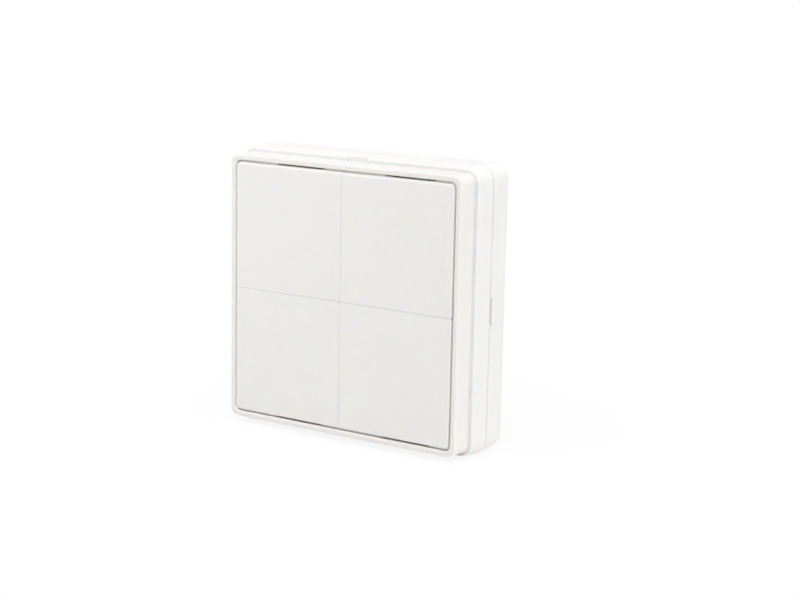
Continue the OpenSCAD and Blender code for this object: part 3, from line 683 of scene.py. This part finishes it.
def edge_pads(low, high, back, detail):
    """A row of rounded pads along each long edge of the radio board."""
    bm = bmesh.new()
    count = int((high.z - low.z) / detail.pad_pitch) - 1
    half = Vector((detail.pad_l / 2, detail.copper_t, detail.pad_w / 2))
    for x in (low.x + detail.pad_l / 2, high.x - detail.pad_l / 2):
        for index in range(count):
            z = (low.z + high.z) / 2 + (index - (count - 1) / 2) * detail.pad_pitch
            middle = Vector((x, back, z))
            block(bm, middle - half, middle + half)
    upright = [edge for edge in bm.edges if abs(edge.verts[0].co.y - edge.verts[1].co.y) > NEAR]
    round_edges(bm, upright, detail.pad_w / 4)
    return bm


class WALL_BUTTON_OT_radio(bpy.types.Operator):
    """Lay the antenna and the pads on the radio board"""

    bl_idname = "wall_button.radio"
    bl_label = "Radio copper"

    def execute(self, context):
        detail = context.scene.wall_button_detail
        low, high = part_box("radio_module")
        shield_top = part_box("radio_shield")[1].z
        margin = detail.trace
        clear_low = Vector((low.x + 2 * margin + detail.pad_l, 0.0, shield_top + margin))
        clear_high = Vector((high.x - 2 * margin - detail.pad_l, 0.0, high.z - margin))
        add_piece("radio_antenna", antenna(clear_low, clear_high, high.y, detail), "gilt_copper")
        pads_high = Vector((high.x, high.y, shield_top))
        add_piece("radio_pads", edge_pads(low, pads_high, high.y, detail), "gilt_copper")
        return {"FINISHED"}


# Stage

# Each lamp: its name, the setting of its power, its place, and its width and height in metres
LAMPS = (
    ("top_lamp", "top_power", (0.0, -0.05, 1.0), (1.3, 1.3)),
    ("front_lamp", "front_power", (0.0, -0.55, 0.85), (1.2, 0.8)),
    ("right_lamp", "right_power", (0.9, -0.1, 0.25), (0.6, 0.8)),
    ("left_lamp", "left_power", (-0.17, -0.2, 0.12), (0.15, 0.15)),
)
# Half the floor's side in metres, and the width of the camera's sensor in millimetres
FLOOR_HALF = 3.0
SENSOR_WIDTH = 36.0


def aimed_camera(settings):
    """The camera at its place, turned to its aim and rolled."""
    data = bpy.data.cameras.new("camera")
    data.sensor_width = SENSOR_WIDTH
    data.lens = settings.lens
    camera = bpy.data.objects.new("camera", data)
    place = Vector(settings.camera_place)
    ahead = Vector(settings.camera_aim) - place
    turn = ahead.to_track_quat("-Z", "Y").to_matrix().to_4x4()
    roll = Matrix.Rotation(settings.camera_roll, 4, "Z")
    camera.matrix_world = Matrix.Translation(place) @ turn @ roll
    bpy.context.scene.collection.objects.link(camera)
    return camera


def soft_lamp(name, place, aim, size, power):
    """A soft box that faces a point."""
    data = bpy.data.lights.new(name, "AREA")
    data.shape = "RECTANGLE"
    data.size, data.size_y = size
    data.energy = power
    lamp = bpy.data.objects.new(name, data)
    lamp.location = place
    lamp.rotation_euler = (aim - Vector(place)).to_track_quat("-Z", "Y").to_euler()
    bpy.context.scene.collection.objects.link(lamp)


def seen_by_eye(tree):
    """1 for rays that the eye follows, straight, by gloss or through glass, and 0 for the rest."""
    path = tree.nodes.new("ShaderNodeLightPath")
    total = path.outputs["Is Camera Ray"]
    for other in ("Is Glossy Ray", "Is Transmission Ray"):
        total = calculate(tree, "MAXIMUM", total, path.outputs[other])
    return total


def white_sky(strength, lean):
    """A world that looks white and lights the object from all round, more from where it leans to."""
    world = bpy.data.worlds.new("white_sky")
    world.use_nodes = True
    tree = world.node_tree
    source = tree.nodes.new("ShaderNodeTexCoord")
    along = tree.nodes.new("ShaderNodeVectorMath")
    along.operation = "DOT_PRODUCT"
    along.inputs[1].default_value = lean
    tree.links.new(source.outputs["Generated"], along.inputs[0])
    light = tree.nodes["Background"]
    light.inputs["Color"].default_value = WHITE
    tree.links.new(calculate(tree, "ADD", along.outputs["Value"], strength), light.inputs["Strength"])
    white = tree.nodes.new("ShaderNodeBackground")
    white.inputs["Color"].default_value = WHITE
    show_either(
        tree, seen_by_eye(tree), light.outputs["Background"], white.outputs["Background"], "World Output"
    )
    bpy.context.scene.world = world


def pale_floor(height, settings):
    """A white floor that shows a share of the object's shadow, fading out away from it."""
    bm = bmesh.new()
    level = Matrix.Translation((0.0, 0.0, height))
    bmesh.ops.create_grid(bm, x_segments=1, y_segments=1, size=FLOOR_HALF, matrix=level)
    floor = make_object("floor", bm)
    material, tree, matt = new_material("pale_floor")
    matt.inputs["Base Color"].default_value = (settings.floor, settings.floor, settings.floor, 1.0)
    matt.inputs["Roughness"].default_value = 1.0
    matt.inputs["Specular IOR Level"].default_value = 0.0
    white = tree.nodes.new("ShaderNodeEmission")
    reach = tree.nodes.new("ShaderNodeVectorMath")
    reach.operation = "LENGTH"
    tree.links.new(object_coordinates(tree, scale=(1.0, 1.0, 0.0)), reach.inputs[0])
    fade = spread(
        tree, reach.outputs["Value"], 1.0 - settings.shadow, 1.0,
        settings.shadow_near, settings.shadow_far, "SMOOTHSTEP"
    )
    lift = calculate(tree, "MULTIPLY", seen_by_eye(tree), fade)
    show_either(tree, lift, matt.outputs["BSDF"], white.outputs["Emission"], "Material Output")
    floor.data.materials.append(material)


class WALL_BUTTON_OT_stage(bpy.types.Operator):
    """Set up the camera, the lamps, the white sky and the floor"""

    bl_idname = "wall_button.stage"
    bl_label = "Stage"

    def execute(self, context):
        settings = context.scene.wall_button_stage
        context.scene.camera = aimed_camera(settings)
        middle = (CAD_LOW + CAD_HIGH) / 2
        for name, power, place, size in LAMPS:
            soft_lamp(name, place, middle, size, getattr(settings, power))
        white_sky(settings.sky, settings.sky_lean)
        pale_floor(CAD_LOW.z, settings)
        context.scene.view_settings.view_transform = "Standard"
        return {"FINISHED"}


# Sidebar, registration and the run

class WALL_BUTTON_PT_sidebar(bpy.types.Panel):
    """Lists the settings and the operators in the 3D view's sidebar"""

    bl_idname = "WALL_BUTTON_PT_sidebar"
    bl_label = "Wall Button"
    bl_space_type = "VIEW_3D"
    bl_region_type = "UI"
    bl_category = "Wall Button"

    def draw(self, context):
        scene = context.scene
        for settings in (scene.wall_button_finish, scene.wall_button_detail, scene.wall_button_stage):
            column = self.layout.column()
            for name in settings.bl_rna.properties.keys():
                if name not in ("rna_type", "name"):
                    column.prop(settings, name)
        for operator in OPERATORS:
            self.layout.operator(operator.bl_idname)


OPERATORS = (
    WALL_BUTTON_OT_shell,
    WALL_BUTTON_OT_caps,
    WALL_BUTTON_OT_inside,
    WALL_BUTTON_OT_cells,
    WALL_BUTTON_OT_solder,
    WALL_BUTTON_OT_chips,
    WALL_BUTTON_OT_radio,
    WALL_BUTTON_OT_stage,
)
CLASSES = (WallButtonFinish, WallButtonDetail, WallButtonStage, *OPERATORS, WALL_BUTTON_PT_sidebar)


def register():
    for item in CLASSES:
        bpy.utils.register_class(item)
    bpy.types.Scene.wall_button_finish = bpy.props.PointerProperty(type=WallButtonFinish)
    bpy.types.Scene.wall_button_detail = bpy.props.PointerProperty(type=WallButtonDetail)
    bpy.types.Scene.wall_button_stage = bpy.props.PointerProperty(type=WallButtonStage)


def unregister():
    del bpy.types.Scene.wall_button_stage
    del bpy.types.Scene.wall_button_detail
    del bpy.types.Scene.wall_button_finish
    for item in reversed(CLASSES):
        bpy.utils.unregister_class(item)


def main():
    register()
    bpy.ops.wall_button.shell()
    bpy.ops.wall_button.caps()
    bpy.ops.wall_button.inside()
    bpy.ops.wall_button.cells()
    bpy.ops.wall_button.solder()
    bpy.ops.wall_button.chips()
    bpy.ops.wall_button.radio()
    bpy.ops.wall_button.stage()


if __name__ == "__main__":
    main()
